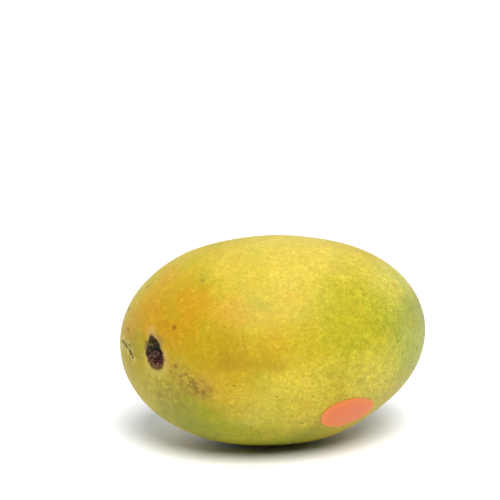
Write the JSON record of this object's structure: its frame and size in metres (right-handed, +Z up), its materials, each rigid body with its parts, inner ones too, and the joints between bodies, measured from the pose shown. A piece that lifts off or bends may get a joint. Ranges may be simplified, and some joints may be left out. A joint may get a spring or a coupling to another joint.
{
  "type": "mango",
  "caption": "Whole ripe mango lying on its cheek, yellow and green skin, with a stalk scar, a dry stalk stub and a blank oval label.",
  "frame": {"origin": "bottom centre of the fruit's box, on the surface that it rests on", "axes": "+X along the fruit from its stalk end to its blossom end, +Y away from the side with the label, +Z up"},
  "size_m": [0.1234, 0.0892, 0.0822],
  "materials": {
    "skin": "waxy skin, satin, mottled yellow, golden and green",
    "stalk": "dry and dark, matte",
    "label_paper": "coated paper, satin, blank"
  },
  "bodies": {
    "root": {"fruit": "skin", "stalk_stub": "stalk", "label": "label_paper"}
  },
  "joints": []
}
